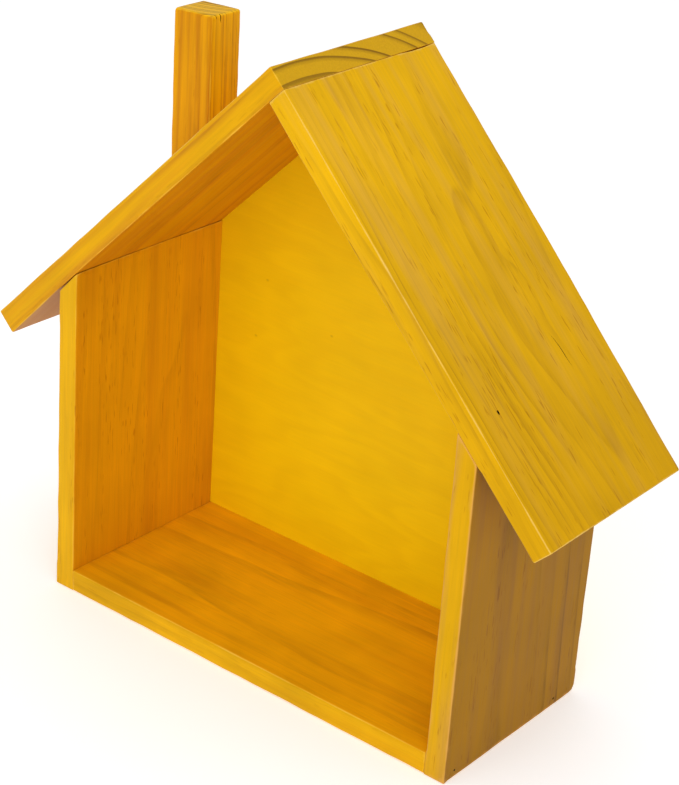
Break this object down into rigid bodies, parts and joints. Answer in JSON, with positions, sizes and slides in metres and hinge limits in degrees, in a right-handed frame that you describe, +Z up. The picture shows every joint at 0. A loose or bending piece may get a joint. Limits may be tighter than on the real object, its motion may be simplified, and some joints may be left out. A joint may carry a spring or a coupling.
{
  "type": "open-fronted wooden birdhouse",
  "caption": "House-shaped wooden bird shelter with an open front, gabled lapped roof, inset plywood back and a small square chimney.",
  "frame": {"origin": "on the ground under the middle of the body: middle of the overall width and depth, underside of the floor board", "axes": "+X to the right seen from the front, open front faces -Y, +Z up"},
  "size_m": [0.3442, 0.11, 0.3182],
  "materials": {
    "stained_pine": "translucent yellow wood stain, satin",
    "stained_plywood": "translucent yellow wood stain, satin",
    "beech_dowel": "bare",
    "steel_nails": "dulled"
  },
  "bodies": {
    "root": {"floor_board": "stained_pine", "left_wall": "stained_pine", "right_wall": "stained_pine", "left_roof_board": "stained_pine", "right_roof_board": "stained_pine", "chimney": "stained_pine", "back_panel": "stained_plywood", "chimney_dowel": "beech_dowel", "floor_nails_left": "steel_nails", "floor_nails_right": "steel_nails", "roof_nails_left": "steel_nails", "roof_nails_right": "steel_nails", "ridge_nails": "steel_nails", "back_panel_pins": "steel_nails"}
  },
  "joints": []
}
